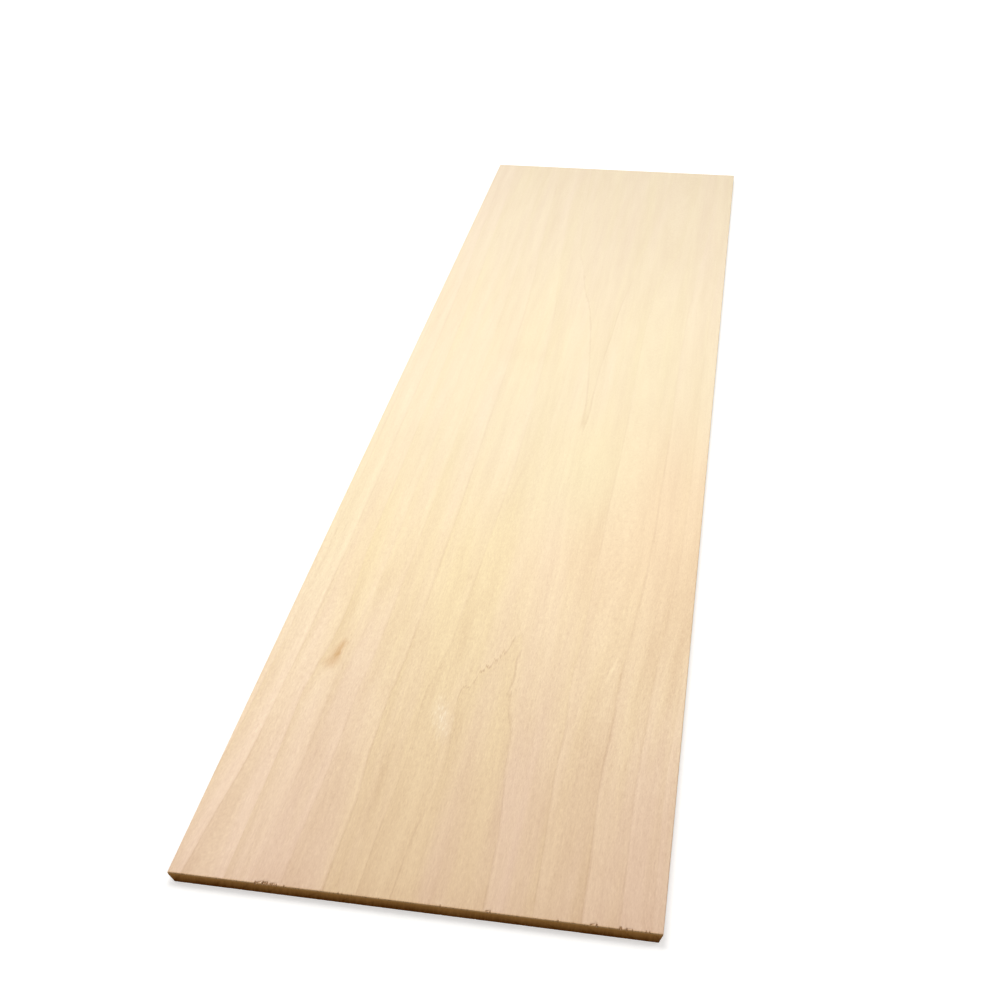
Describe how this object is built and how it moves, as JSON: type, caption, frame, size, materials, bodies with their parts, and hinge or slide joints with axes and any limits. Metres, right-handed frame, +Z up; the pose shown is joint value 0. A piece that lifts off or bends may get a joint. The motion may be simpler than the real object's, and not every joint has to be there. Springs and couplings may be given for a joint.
{
  "type": "basswood board",
  "caption": "Thin flat board of pale basswood with planed faces, square long edges and cross-cut ends, one end torn out along its top edge: raw stock for craft and joinery.",
  "frame": {"origin": "centre of the underside, on the surface that the board lies on", "axes": "+Z up through the thickness, +Y along the grain to the clean far end, +X across the width; the torn near end faces -Y"},
  "size_m": [0.15, 0.6, 0.004],
  "materials": {
    "basswood": "planed, unfinished, matt, with a fine straight grain"
  },
  "bodies": {
    "root": {"board": "basswood"}
  },
  "joints": []
}
